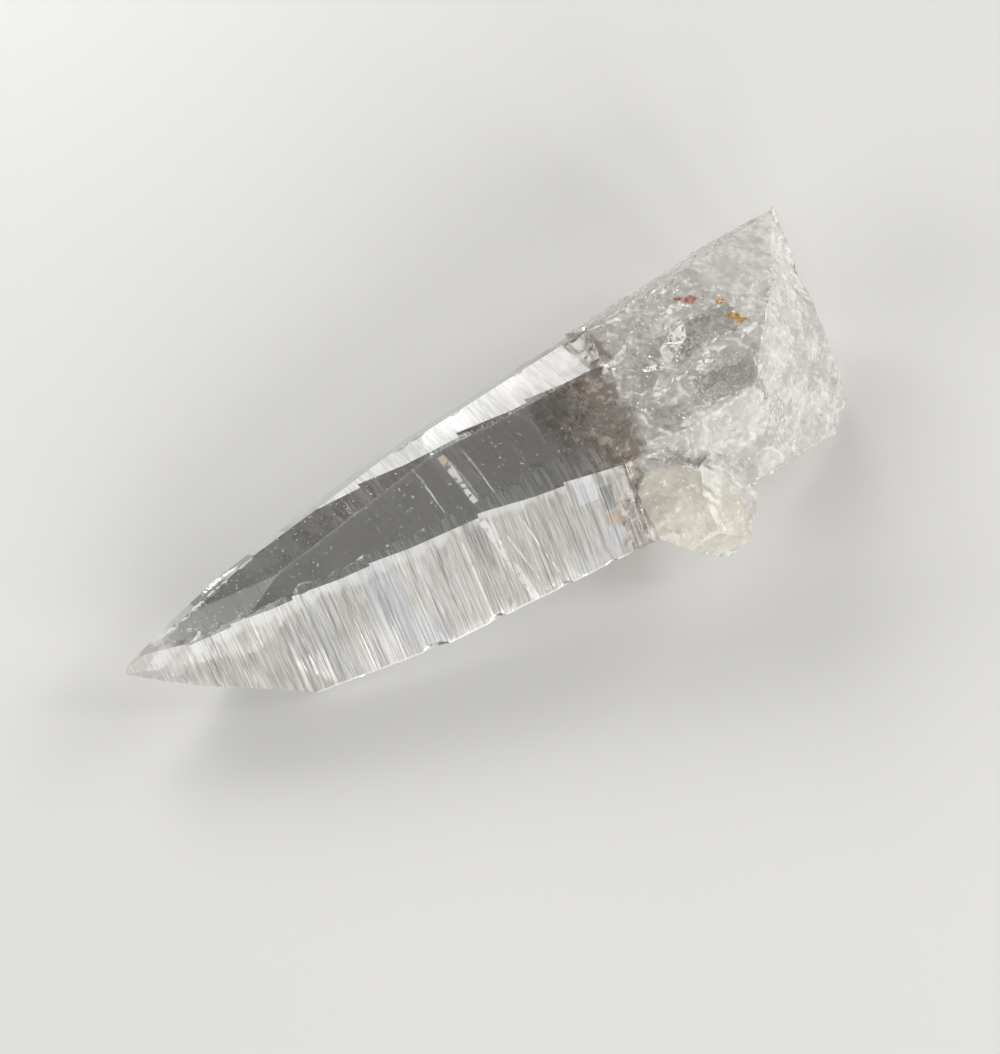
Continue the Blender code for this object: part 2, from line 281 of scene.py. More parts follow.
class Graph:
    """Adds nodes to a tree of shader or geometry nodes."""

    def __init__(self, tree):
        self.tree = tree

    def add(self, kind, settings=None, inputs=None, out=0):
        node = self.tree.nodes.new(kind)
        for name, setting in (settings or {}).items():
            setattr(node, name, setting)
        for name, value in (inputs or {}).items():
            self.feed(node.inputs[name], value)
        return Value(self, node.outputs[out])

    def feed(self, socket, value):
        if isinstance(value, Value):
            self.tree.links.new(value.socket, socket)
        else:
            socket.default_value = value

    def mix(self, share, first, second):
        """The first colour where share is 0, and the second where it is 1."""
        return self.add("ShaderNodeMix", {"data_type": "RGBA"}, {0: share, 6: first, 7: second}, out=2)

    def place(self):
        return self.add("ShaderNodeTexCoord", out="Object")

    def axis(self, vector, index):
        return self.add("ShaderNodeSeparateXYZ", inputs={0: vector}, out=index)

    def vector(self, operation, inputs, out="Vector"):
        return self.add("ShaderNodeVectorMath", {"operation": operation}, inputs, out)

    def dot(self, vector, way):
        return self.vector("DOT_PRODUCT", {0: vector, 1: tuple(way)}, "Value")

    def distance(self, vector, centre):
        """How far a place is from a centre that is given in millimetres, in metres."""
        return self.vector("DISTANCE", {0: vector, 1: tuple(centre * MM)}, "Value")

    def grain(self, vector, turns, detail=2.0, roughness=0.5):
        """Noise that repeats so often in a metre, all ways or along each axis."""
        scale = turns
        if isinstance(turns, tuple):
            vector, scale = self.vector("MULTIPLY", {0: vector, 1: turns}), 1.0
        inputs = {"Vector": vector, "Scale": scale, "Detail": detail, "Roughness": roughness}
        return self.add("ShaderNodeTexNoise", inputs=inputs)


def new_material(name):
    """A material, its graph and its surface shader."""
    material = bpy.data.materials.new(name)
    material.use_nodes = True
    surface = material.node_tree.nodes["Principled BSDF"]
    return material, Graph(material.node_tree), surface


def set_plain(surface, **values):
    for name, value in values.items():
        surface.inputs[name.replace("_", " ")].default_value = value


# The finishes.


def roll_of(graph):
    """How far a face is rolled about the blade's length, in degrees: 0 looks up, 90 looks back."""
    normal = graph.add("ShaderNodeNewGeometry", out="True Normal")
    behind = graph.add("ShaderNodeNewGeometry", out="Backfacing")
    flip = behind * -2.0 + 1.0
    across, upward = graph.axis(normal, 1) * flip, graph.axis(normal, 2) * flip
    return across.maths("ARCTAN2", upward) * math.degrees(1.0)


def between(value, low, high, soft):
    """1 between low and high, and 0 outside them."""
    return value.rise(low - soft, low + soft) * value.fall(high - soft, high + soft)


def above(graph, place, face):
    """How far a place stands out of a face's plane, in millimetres."""
    through, facing = face
    return graph.dot(place, facing / MM) - through.dot(facing)


def under_edge(graph, place, faces):
    """How far a place lies inside the nearer of two faces, in millimetres."""
    first, second = (above(graph, place, face) * -1.0 for face in faces)
    return first.least(second)


def block(graph, place, centre, sides, soft=0.1):
    """1 inside a slanted box, 0 outside it. Each side is the way it runs and half its length."""
    shares = []
    for way, half in sides:
        way = Vector(way).normalized()
        offset = (graph.dot(place, way) - Vector(centre).dot(way) * MM).size()
        shares.append(offset.fall((half - soft) * MM, (half + soft) * MM))
    return shares[0] * shares[1]


def total(values):
    values = list(values)
    return sum(values[1:], values[0])


def face_masks(graph, place, along, across, ragged, chips):
    """A mask for each face of the blade, each part of the root and each edge that looks its own way."""
    roll = roll_of(graph)
    slant = along - across * 0.25
    proud = above(graph, place, FRONT).rise(0.35, 0.6) * along.rise(5.0 * MM, 7.0 * MM)
    root = (slant + ragged * 0.012).rise(13.9 * MM, 15.0 * MM).most(proud)
    blade = 1.0 - root
    side_reach = across * -1.0 - along * 0.36
    side_crystal = proud * side_reach.rise(2.9 * MM, 4.0 * MM) * along.fall(25.0 * MM, 26.5 * MM)
    front = between(roll, *FRONT_ROLL) * blade
    sliver = between(roll, *SLIVER_ROLL) * blade
    back = between(roll, *STRIP_ROLL)
    under_ridge = under_edge(graph, place, BEVELS)
    wide = along.fall(-16.0 * MM, -8.0 * MM)
    ledge = (under_ridge - chips * 0.7 - ragged * 0.9 - wide * 0.25 + 0.1).fall(-0.2, 0.35)
    veil = (slant - front * 0.0028 - sliver * 0.003 + ragged * 0.020).rise(6.5 * MM, 9.5 * MM) * blade
    low_root = (across * -1.0).rise(4.0 * MM, 7.0 * MM) * along.rise(18.0 * MM, 21.0 * MM)
    broken = root * (1.0 - side_crystal) * along.fall(31.0 * MM, 34.0 * MM) * (1.0 - low_root)
    return SimpleNamespace(
        root=root,
        blade=blade,
        side_crystal=side_crystal,
        milk=root * (1.0 - broken) * (1.0 - side_crystal),
        root_start=slant.rise(13.5 * MM, 15.5 * MM),
        front=front,
        bevel=between(roll, *BEVEL_ROLL) * blade,
        top=between(roll, *TOP_ROLL) * blade,
        sliver=sliver,
        back=back,
        strip=back * blade,
        dashed=back * blade * along.fall(-28.0 * MM, -24.0 * MM),
        tip=along.fall(-46.5 * MM, -42.5 * MM),
        # Where the top face takes more painted shade, towards the point.
        near_tip_shade=along.fall(-34.0 * MM, -29.0 * MM),
        ledge=front * ledge * chips.rise(0.30, 0.55),
        # A painted highlight along the front's low edge.
        low_edge_highlight=front * under_edge(graph, place, UNDER_EDGES).fall(0.12, 0.30),
        veil=veil * (1.0 - sliver * 0.45),
    )


def band_mask(graph, place, masks, breaks):
    """The healed cracks that run across the top and the front, broken up into threads."""
    groups = []
    for face, mask in ((TOP, masks.top), (FRONT, masks.front)):
        bands = [
            block(graph, place, centre, ((way, length), (face[1].cross(Vector(way)), width)), min(0.1, width))
            for on_face, centre, way, length, width in BANDS
            if on_face is face
        ]
        groups.append(total(bands) * mask)
    threads = graph.grain(place, (2400.0, 110.0, 110.0), detail=1.0).rise(0.36, 0.54)
    return total(groups) * threads * (breaks * 0.65 + 0.35)


def growth_grains(graph, place, along, across):
    """The patterns that the faces share: stripes across the blade, clouds and crumbs in the root."""
    broad = graph.grain(place, (520.0, 60.0, 60.0), detail=4.0, roughness=0.7)
    fine = graph.grain(place, (3400.0, 170.0, 170.0), detail=1.0)
    stripes = broad * 0.6 + fine * 0.4
    sweep = graph.grain(place, 150.0, detail=2.0, roughness=0.55)
    # Painted glints gather about one place on the root.
    glint_spot = graph.distance(place, GLINTS_AT).fall(1.0 * MM, 5.0 * MM) * 0.09
    return SimpleNamespace(
        stripes=stripes,
        lines=stripes.rise(0.51, 0.62) * along.rise(-22.0 * MM, -10.0 * MM),
        scratches=graph.grain(place, (2600.0, 120.0, 120.0), detail=1.0).rise(0.60, 0.68),
        streaks=graph.grain(place, (1500.0, 160.0, 160.0), detail=2.0, roughness=0.6),
        dashes=graph.grain(place, (330.0, 20.0, 20.0), detail=1.0).rise(0.47, 0.53),
        flecks=graph.grain(place, 2300.0, detail=1.0).rise(0.69, 0.73),
        cloud=graph.grain(place, 260.0, detail=4.0, roughness=0.7),
        crumbs=graph.grain(place, 900.0, detail=3.0),
        rings=(along * 2600.0 + across * 1700.0 + sweep * 44.0).maths("SINE") * 0.5 + 0.5,
        # Painted glints: bright highlights painted on the root.
        glints=(graph.grain(place, 1500.0, detail=3.0) + glint_spot).rise(0.63, 0.68),
    )


def frost_and_painted_light_mask(masks, grains, arcs, clear_pane, rust, band):
    """How much the painted layer covers the clear crystal, from 0 to 1: haze at the root and tip, painted
    sheen, shade and highlights on the blade's faces.
    """
    stripes, cloud = grains.stripes, grains.cloud
    # The front face takes the painted silvery sheen, in stripes.
    frost_and_painted_light = masks.front * (stripes.rise(0.34, 0.66) * 0.30 + 0.55)
    # The bevel takes painted shade in stripes.
    frost_and_painted_light = frost_and_painted_light + masks.bevel * (stripes.rise(0.40, 0.62) * 0.25 + 0.30)
    # The top face takes painted shade, more of it towards the point, and white dust flecks.
    frost_and_painted_light = frost_and_painted_light + masks.top * (grains.lines * 0.30 + grains.flecks * 0.8 + masks.near_tip_shade * 0.5 + 0.10)
    # The sliver takes a painted highlight.
    frost_and_painted_light = frost_and_painted_light + masks.sliver * (grains.streaks.rise(0.30, 0.60) * 0.35 + 0.55)
    # The back strip takes a painted highlight.
    frost_and_painted_light = frost_and_painted_light + masks.strip * 0.45
    # The root's haze, with its fracture rings and the painted glints.
    hazy = arcs * 0.34 + grains.glints * 0.4 + grains.crumbs.rise(0.50, 0.60) * 0.12
    hazy = hazy + cloud.rise(0.42, 0.60) * 0.16 + 0.26 + masks.side_crystal * 0.26
    hazy = hazy + masks.milk * (cloud.rise(0.40, 0.60) * 0.14 + 0.24)
    frost_and_painted_light = frost_and_painted_light + masks.root * hazy * (1.0 - clear_pane * 0.62) * (1.0 - masks.back * 0.5) + rust
    frost_and_painted_light = frost_and_painted_light * (1.0 - masks.veil) + masks.veil * (cloud.rise(0.38, 0.58) * 0.42 + 0.24)
    # The chipped ledge, the painted highlight along the low edge, and the healed cracks.
    edges = masks.ledge * 0.4 + masks.low_edge_highlight * 0.4 + band * 0.85
    return (frost_and_painted_light + masks.tip * (cloud.rise(0.42, 0.56) * 0.40 + 0.35) + edges).least(0.95)


def front_sheen_tone(graph, place, masks, grains):
    """A painted silvery sheen in stripes with blue-grey patches, white scratches, a white chipped ledge, a
    painted highlight on the low edge, and painted reflections in panes near the root, one of them a brown
    stain.
    """
    silver_sheen = graph.mix(grains.stripes.rise(0.36, 0.64), SILVER_SHEEN_DARK, SILVER_SHEEN_LIGHT)
    bluish_sheen = graph.grain(place, (130.0, 60.0, 60.0), detail=2.0).rise(0.54, 0.68) * 0.5
    silver_sheen = graph.mix(bluish_sheen, silver_sheen, BLUISH_SHEEN)
    silver_sheen = graph.mix(grains.scratches * 0.7, silver_sheen, SCRATCH_WHITE)
    silver_sheen = graph.mix((masks.ledge * 0.65).most(masks.low_edge_highlight * 0.9), silver_sheen, EDGE_WHITE_AND_HIGHLIGHT)
    # Painted reflections in bright and dark panes, and one brown stained pane.
    for centre, half, tone in REFLECTION_AND_STAIN_PANES:
        share = block(graph, place, centre, ((FRONT_ALONG, half[0]), (FRONT_UP, half[1])))
        silver_sheen = graph.mix(share * 0.95, silver_sheen, tone)
    return silver_sheen


def frost_and_painted_light_tone(graph, place, along, across, masks, grains, arcs, rust, band):
    """The painted layer's colour, face by face: painted shade on the top and bevel, painted silvery sheen in
    front, painted highlights on the sliver, strip and low edge; the veil, cracks, root, rust and tip in their
    own colours.
    """
    # The bevel is painted grey: painted shade, in stripes.
    grey = graph.mix(grains.stripes.rise(0.38, 0.66), BEVEL_SHADE_DARK, BEVEL_SHADE_LIGHT)
    tone = graph.mix(masks.bevel, front_sheen_tone(graph, place, masks, grains), grey)
    # The top face is painted dark grey: painted shade, with white dust flecks.
    top_shade = graph.mix(grains.lines * 0.5, TOP_SHADE_DARK, TOP_SHADE_LIGHT)
    tone = graph.mix(masks.top, tone, graph.mix(grains.flecks, top_shade, FLECK_WHITE))
    # The sliver is painted white: a painted highlight, streaked.
    white = graph.mix(grains.streaks.rise(0.35, 0.60), SLIVER_HIGHLIGHT_GREY, SLIVER_HIGHLIGHT_WHITE)
    tone = graph.mix(masks.sliver, tone, white)
    # The back strip is painted with a highlight, broken towards the point into dark and light dashes.
    dashed = graph.mix(grains.dashes, DASH_DARK, DASH_LIGHT)
    tone = graph.mix(masks.strip, tone, graph.mix(masks.dashed, STRIP_HIGHLIGHT, dashed))
    brown = graph.mix(grains.crumbs.rise(0.50, 0.62), BROWN_DARK, BROWN_LIGHT)
    tone = graph.mix(masks.veil, tone, brown)
    stain = across.rise(4.8 * MM, 6.8 * MM) * 0.7
    tone = graph.mix(band, tone, graph.mix(stain, BAND_WHITE, BAND_ORANGE))
    # The fracture rings, and the painted glints, are the brighter tones of the root.
    bright = arcs.most(grains.glints)
    milky = graph.mix(bright, MILK, MILK_BRIGHT)
    yellowish = graph.mix(bright, YELLOWISH, YELLOWISH_BRIGHT)
    tone = graph.mix(masks.root, tone, graph.mix(masks.side_crystal, milky, yellowish))
    blotch = graph.grain(place, 2500.0, detail=3.0).rise(0.35, 0.65)
    red, gold = graph.mix(blotch, *RUST_RED), graph.mix(blotch, *RUST_GOLD)
    golden = along.rise(30.0 * MM, 31.5 * MM)
    tone = graph.mix(rust.least(1.0), tone, graph.mix(golden, red, gold))
    # The tip is painted whitish: its small fractures, and partly a painted highlight.
    tip = graph.mix(grains.cloud.rise(0.44, 0.52), TIP_BROWN, TIP_WHITE_AND_HIGHLIGHT)
    return graph.mix(masks.tip * masks.blade * 0.75, tone, tip)


def crystal_finish():
    """Clear crystal under a painted layer by face: a striped painted silvery sheen in front, a painted
    highlight on the sliver, painted shade on the top, haze at the root.
    """
    material, graph, surface = new_material("striped_clear_crystal")
    place = graph.place()
    along, across = graph.axis(place, 0), graph.axis(place, 1)
    ragged = graph.grain(place, 170.0, detail=3.0, roughness=0.6) - 0.5
    chips = graph.grain(place, (700.0, 160.0, 160.0), detail=2.0, roughness=0.7)
    masks = face_masks(graph, place, along, across, ragged, chips)
    grains = growth_grains(graph, place, along, across)
    stripes, cloud, crumbs, rings = grains.stripes, grains.cloud, grains.crumbs, grains.rings
    breaks = crumbs.rise(0.40, 0.50)
    band = band_mask(graph, place, masks, breaks)
    arcs = rings.rise(0.55, 0.97) * cloud.rise(0.44, 0.60) * crumbs.rise(0.40, 0.55)
    arcs = arcs * (1.0 - masks.side_crystal)

    shift = graph.vector("SCALE", {0: (1.0, -1.0, 0.3), "Scale": (crumbs - 0.5) * 0.0022})
    shifted = graph.vector("ADD", {0: place, 1: shift})
    clear_pane = total(
        block(graph, shifted, centre, ((TOP_ALONG, half[0]), (TOP_ACROSS, half[1])), 0.12)
        for centre, half in CLEAR_PANES
    )
    rust = total(
        graph.distance(shifted, Vector(centre)).fall((reach - 0.08) * MM, (reach + 0.08) * MM)
        for centre, reach in RUST_SPOTS
    )
    frost_and_painted_light = frost_and_painted_light_mask(masks, grains, arcs, clear_pane, rust, band)

    height = stripes + masks.root_start * (crumbs * 0.35 + rings * 0.30 - stripes)
    depth = masks.front * 0.8 + masks.bevel * 0.3 + masks.top * 0.06 + masks.sliver * 0.35 + masks.root
    bump_inputs = {"Height": height, "Strength": depth.least(1.0), "Distance": BUMP_DEPTH * MM}
    bump = graph.add("ShaderNodeBump", inputs=bump_inputs)
    root_rough = cloud.rise(0.46, 0.66) * masks.root * 0.12 + masks.root * 0.02
    rough = root_rough + masks.front * 0.06 + masks.sliver * 0.10 + 0.012
    graph.feed(surface.inputs["Base Color"], graph.mix(masks.side_crystal, CLEAR, CLEAR_YELLOWISH))
    graph.feed(surface.inputs["Roughness"], rough)
    graph.feed(surface.inputs["Normal"], bump)
    set_plain(surface, Metallic=0.0, IOR=CLEAR_IOR, Transmission_Weight=1.0)

    frost_and_painted_light_surface = graph.tree.nodes.new("ShaderNodeBsdfPrincipled")
    tone = frost_and_painted_light_tone(graph, place, along, across, masks, grains, arcs, rust, band)
    graph.feed(frost_and_painted_light_surface.inputs["Base Color"], tone)
    graph.feed(frost_and_painted_light_surface.inputs["Roughness"], stripes * 0.2 + 0.3)
    graph.feed(frost_and_painted_light_surface.inputs["Normal"], bump)
    set_plain(frost_and_painted_light_surface, Metallic=0.0, IOR=CLEAR_IOR, Transmission_Weight=0.5)
    mixed = graph.add("ShaderNodeMixShader", inputs={0: frost_and_painted_light})
    graph.tree.links.new(surface.outputs["BSDF"], mixed.socket.node.inputs[1])
    graph.tree.links.new(frost_and_painted_light_surface.outputs["BSDF"], mixed.socket.node.inputs[2])

    inside_crystal = graph.tree.nodes.new("ShaderNodeVolumeAbsorption")
    set_plain(inside_crystal, Color=TINT, Density=TINT_DENSITY)
    output = graph.tree.nodes["Material Output"]
    graph.tree.links.new(mixed.socket, output.inputs["Surface"])
    graph.tree.links.new(inside_crystal.outputs["Volume"], output.inputs["Volume"])
    return material


def healed_finish():
    """White streaks of a healed crack, clear between them."""
    material, graph, surface = new_material("healed_crack")
    place = graph.place()
    streaks = graph.grain(place, (500.0, 2600.0, 2600.0), detail=4.0, roughness=0.7)
    graph.feed(surface.inputs["Alpha"], streaks.rise(0.32, 0.52) * 0.95)
    stain = graph.grain(place, (90.0, 200.0, 200.0)).rise(0.62, 0.72)
    colour = graph.mix(stain, (0.93, 0.92, 0.88, 1.0), (0.62, 0.42, 0.24, 1.0))
    graph.feed(surface.inputs["Base Color"], colour)
    graph.feed(surface.inputs["Roughness"], streaks * 0.4 + 0.15)
    return material


def veil_finish():
    """Brownish grey dust caught in a crack, denser in patches."""
    material, graph, surface = new_material("brown_veil")
    place = graph.place()
    patches = graph.grain(place, 280.0, detail=5.0, roughness=0.65)
    flecks = graph.grain(place, 1600.0, detail=2.0)
    graph.feed(surface.inputs["Alpha"], patches.rise(0.42, 0.66) * (flecks * 0.5 + 0.30))
    colour = graph.mix(flecks.rise(0.42, 0.60), (0.46, 0.37, 0.31, 1.0), (0.92, 0.87, 0.81, 1.0))
    graph.feed(surface.inputs["Base Color"], colour)
    graph.feed(surface.inputs["Roughness"], patches * 0.5 + 0.2)
    return material


def cloud_finish():
    """White wisps of tiny bubbles in a crack."""
    material, graph, surface = new_material("cloudy_crack")
    place = graph.place()
    wisps = graph.grain(place, 230.0, detail=6.0, roughness=0.7)
    threads = graph.grain(place, 1100.0, detail=3.0, roughness=0.6)
    graph.feed(surface.inputs["Alpha"], wisps.rise(0.40, 0.72) * threads.rise(0.30, 0.70) * 0.75)
    set_plain(surface, Base_Color=(0.93, 0.92, 0.88, 1.0), Roughness=0.35)
    return material


def glint_finish():
    """Tiny bright cracks that make the root look frosty."""
    material, graph, surface = new_material("frosty_glints")
    place = graph.place()
    cloud = graph.grain(place, 300.0, detail=2.0)
    colour = graph.mix(cloud, (0.97, 0.96, 0.93, 1.0), (0.90, 0.87, 0.80, 1.0))
    graph.feed(surface.inputs["Base Color"], colour)
    graph.feed(surface.inputs["Roughness"], cloud * 0.3 + 0.1)
    return material


def floor_finish():
    material, graph, surface = new_material("pale_floor")
    place = graph.place()
    mottle = graph.grain(place, 9.0, detail=2.0)
    colour = graph.mix(mottle, (0.66, 0.655, 0.64, 1.0), (0.70, 0.695, 0.68, 1.0))
    graph.feed(surface.inputs["Base Color"], colour)
    graph.feed(surface.inputs["Roughness"], mottle * 0.1 + 0.4)
    return material


# The crystal's mesh.


def merged_copy(node):
    """The node's own shape as one joined mesh, in millimetres, with its flat faces whole."""
    bm = bmesh.new()
    bm.from_mesh(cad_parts[node].data)
    bmesh.ops.scale(bm, vec=(1 / MM,) * 3, verts=bm.verts)
    bmesh.ops.remove_doubles(bm, verts=bm.verts, dist=0.002)
    bmesh.ops.dissolve_limit(bm, angle_limit=math.radians(0.4), verts=bm.verts, edges=bm.edges)
    return bm


def cut_across(bm, faces, axis, place):
    parts = set(faces)
    for face in faces:
        parts.update(face.edges)
        parts.update(face.verts)
    direction = Vector([1.0 if index == axis else 0.0 for index in range(3)])
    bmesh.ops.bisect_plane(bm, geom=list(parts), dist=1e-5, plane_co=direction * place, plane_no=direction)


def growth_planes(rng):
    """Where the stripes' steps lie along the blade, in pairs: the step's foot and its top."""
    place = LOW.x + 1.0
    while place < BLADE_END:
        place += rng.choice(STEP_GAPS) * rng.uniform(0.7, 1.3)
        yield place
        yield place + STEP_LENGTH


def cut_growth_lines(bm, planes):
    for place in planes:
        faces = [
            face
            for face in bm.faces
            if min(vert.co.x for vert in face.verts) < place < max(vert.co.x for vert in face.verts)
        ]
        cut_across(bm, faces, 0, place)


def step_depths(planes, rng):
    """How deep the surface lies at each plane: it sinks slowly, then steps up again."""
    depths = []
    for index in range(0, len(planes), 2):
        drop = STEP_DEPTH + STEP_DEPTH_MORE * rng.random() ** 2
        depths += [(planes[index], drop), (planes[index + 1], 0.0)]
    return depths


def depth_at(depths, place):
    for (start, first), (end, second) in zip(depths, depths[1:]):
        if start <= place <= end:
            share = (place - start) / max(1e-6, end - start)
            return first + (second - first) * share
    return 0.0


def sink_growth_lines(bm, depths):
    """Sinks the blade's faces between the steps, the rest face left flat."""
    bm.normal_update()
    moves = []
    for vert in bm.verts:
        if LOW.x + 1.0 < vert.co.x < BLADE_END + 0.2 and vert.co.z > 0.01:
            strength = 1.0 if vert.normal.y < -0.2 else SMOOTH_SIDE_DEPTH
            moves.append((vert, vert.normal * (-depth_at(depths, vert.co.x) * strength)))
    for vert, move in moves:
        vert.co += move


def cut_root(bm, grain):
    """Cuts the broken root's faces into a fine grid."""
    for axis in range(3):
        low = (BLADE_END + 0.5, LOW.y, 0.4)[axis]
        steps = int((HIGH[axis] - low) / grain)
        for index in range(steps + 1):
            place = low + grain * (index + 0.3)
            faces = [
                face
                for face in bm.faces
                if face.calc_center_median().x > BLADE_END + 0.3
                and min(vert.co[axis] for vert in face.verts) < place
                and max(vert.co[axis] for vert in face.verts) > place
            ]
            if faces:
                cut_across(bm, faces, axis, place)


def scoop(place, size):
    """1 in the middle of a shell-shaped dip and 0 on the sharp ridges between dips."""
    bent = place + noise.noise_vector(place * 0.35) * 0.9
    near = noise.voronoi(bent / size, distance_metric="DISTANCE", exponent=2.5)[0][0]
    return 1.0 - min(1.0, near * near * 1.6)


def in_clear_pane(place):
    for centre, half in CLEAR_PANES:
        offset = place - Vector(centre)
        along, across = Vector(TOP_ALONG).normalized(), Vector(TOP_ACROSS).normalized()
        if abs(offset.dot(along)) < half[0] and abs(offset.dot(across)) < half[1] and place.z > centre[2] - 4:
            return True
    return False


def root_ripple(place, normal):
    """The relief of the broken surfaces: ripples on the end, shell-shaped dips elsewhere."""
    end = min(1.0, max(0.0, (place.x - ROOT_END) / 3.0))
    bend = noise.noise(place * 0.25) * 3.0
    ripples = math.sin(place.x * 3.1 + place.z * 2.3 + bend) * 0.5
    crumbs = noise.noise(place * 1.7) + 0.5 * noise.noise(place * 3.9)
    side_crystal = -place.y - 0.36 * place.x > 2.9 and place.x < 25.5
    if side_crystal or in_clear_pane(place):
        return crumbs * 0.015
    dips = scoop(place, 3.4) * 0.34 + scoop(place, 1.5) * 0.12
    if normal.y > 0.5 and normal.z > 0.2:
        dips *= 0.25
    return 0.12 * ripples * end + crumbs * (0.02 + 0.04 * end) - dips * (1.0 - 0.7 * end)


def roughen_root(bm):
    bm.normal_update()
    moves = []
    for vert in bm.verts:
        start = min(1.0, max(0.0, (vert.co.x - BLADE_END - 0.5) / 1.5))
        if start > 0 and vert.co.z > 0.3:
            moves.append((vert, vert.normal * (root_ripple(vert.co, vert.normal) - 0.06) * start))
    for vert, move in moves:
        vert.co += move


def crack_void(bm, centre, facing, radius, rings, spokes, bend, rng):
    """A thin hollow inside the crystal, curved like a shell, with its faces looking into it."""
    turn = facing.to_track_quat("Z", "Y").to_matrix()
    seed = Vector((rng.uniform(0, 50), rng.uniform(0, 50), rng.uniform(0, 50)))

    def spot(ring, spoke, side):
        angle = 2 * math.pi * spoke / spokes
        way = Vector((math.cos(angle), math.sin(angle), 0.0))
        share = ring / rings
        edge = radius * (1.0 + 0.45 * noise.noise(way * 1.3 + seed))
        flat = way * edge * share
        wave = 0.035 * radius * noise.noise(flat * (2.2 / radius) + seed)
        ribs = 0.012 * radius * math.sin(share * 14.0)
        lift = bend * radius * share * share + wave + ribs
        lift += side * CRACK_GAP * (1 - share * share)
        return centre + turn @ Vector((flat.x, flat.y, lift))

    sheets = []
    for side in (1.0, -1.0):
        middle = bm.verts.new(spot(0, 0, side))
        rows = []
        for ring in range(1, rings):
            rows.append([bm.verts.new(spot(ring, spoke, side)) for spoke in range(spokes)])
        sheets.append((middle, rows))
    rim = [bm.verts.new(spot(rings, spoke, 0.0)) for spoke in range(spokes)]
    for side, (middle, rows) in zip((1.0, -1.0), sheets):
        rows = rows + [rim]
        for spoke in range(spokes):
            other = (spoke + 1) % spokes
            patches = [(middle, rows[0][other], rows[0][spoke])]
            for inner, outer in zip(rows, rows[1:]):
                patches.append((inner[spoke], inner[other], outer[other], outer[spoke]))
            for patch in patches:
                bm.faces.new(patch if side > 0 else tuple(reversed(patch)))


def inside(tree, place, margin):
    """Whether a place lies inside the crystal, at least the margin from its faces."""
    found = tree.find_nearest(place)
    return found[0] is not None and (place - found[0]).dot(found[1]) < 0 and found[3] > margin


def add_cracks(bm, rng):
    """Shell-shaped cracks through the root, large ones under its broken top and small ones all over."""
    tree = BVHTree.FromBMesh(bm)
    for place, radius in TIP_CRACKS:
        facing = Vector((rng.uniform(-0.6, 0.2), rng.uniform(-0.6, 0.2), 1.0)).normalized()
        crack_void(bm, Vector(place), facing, radius, 3, 12, rng.uniform(-0.3, 0.3), rng)
    for count, wide, deep, tall, radii, rings, spokes, spacing in ROOT_CRACKS:
        made = []
        for _ in range(count * 30):
            centre = Vector((rng.uniform(*wide), rng.uniform(*deep), rng.uniform(*tall)))
            radius = rng.uniform(*radii)
            if len(made) == count:
                break
            if not inside(tree, centre, radius * 1.15 + 0.1):
                continue
            if any((centre - other).length < (radius + size) * spacing for other, size in made):
                continue
            facing = Vector((rng.uniform(-1, 0.6), rng.uniform(-1, 0.6), rng.uniform(0.1, 1.0))).normalized()
            crack_void(bm, centre, facing, radius, rings, spokes, rng.uniform(-0.35, 0.35), rng)
            made.append((centre, radius))


def finish_piece(bm, name, material, smooth=False):
    """Turns millimetres into metres and makes the piece."""
    bmesh.ops.scale(bm, vec=(MM,) * 3, verts=bm.verts)
    mesh = bpy.data.meshes.new(name)
    bm.to_mesh(mesh)
    bm.free()
    mesh.materials.append(material)
    if smooth:
        mesh.shade_smooth()
    piece = bpy.data.objects.new(name, mesh)
    bpy.context.scene.collection.objects.link(piece)
    return piece


def join_frame(piece):
    """The piece moves with the crystal's body."""
    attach(piece, "root")
    return piece


def crystal_piece():
    rng = random.Random(5)
    bm = merged_copy(NODE)
    planes = list(growth_planes(rng))
    cut_growth_lines(bm, planes)
    sink_growth_lines(bm, step_depths(planes, rng))
    cut_root(bm, ROOT_GRAIN)
    bmesh.ops.triangulate(bm, faces=bm.faces)
    roughen_root(bm)
    add_cracks(bm, rng)
    piece = join_frame(finish_piece(bm, "striped_crystal", crystal_finish()))
    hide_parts(NODE)
    return piece


# What lies inside the crystal.


def cross_sheet(solid, through, facing, grain, shrink):
    """The crystal's own cross-section along a plane, a little smaller, cut into a grid."""
    bm = solid.copy()
    everything = bm.verts[:] + bm.edges[:] + bm.faces[:]
    bmesh.ops.bisect_plane(
        bm, geom=everything, dist=1e-5, plane_co=through, plane_no=facing, clear_outer=True, clear_inner=True
    )
    bmesh.ops.contextual_create(bm, geom=bm.edges[:])
    middle = sum((vert.co for vert in bm.verts), Vector()) / max(1, len(bm.verts))
    bmesh.ops.scale(bm, vec=(shrink,) * 3, space=Matrix.Translation(-middle), verts=bm.verts)
    for axis in range(3):
        start = min(vert.co[axis] for vert in bm.verts)
        end = max(vert.co[axis] for vert in bm.verts)
        for index in range(1, int((end - start) / grain)):
            cut_across(bm, bm.faces[:], axis, start + index * grain)
    return bm


def crumple(bm, facing, reach, pull, seed):
    for vert in bm.verts:
        place = vert.co * pull + Vector((seed, 2 * seed, 0))
        vert.co += facing * reach * (noise.noise(place) + 0.4 * noise.noise(place * 3.1))


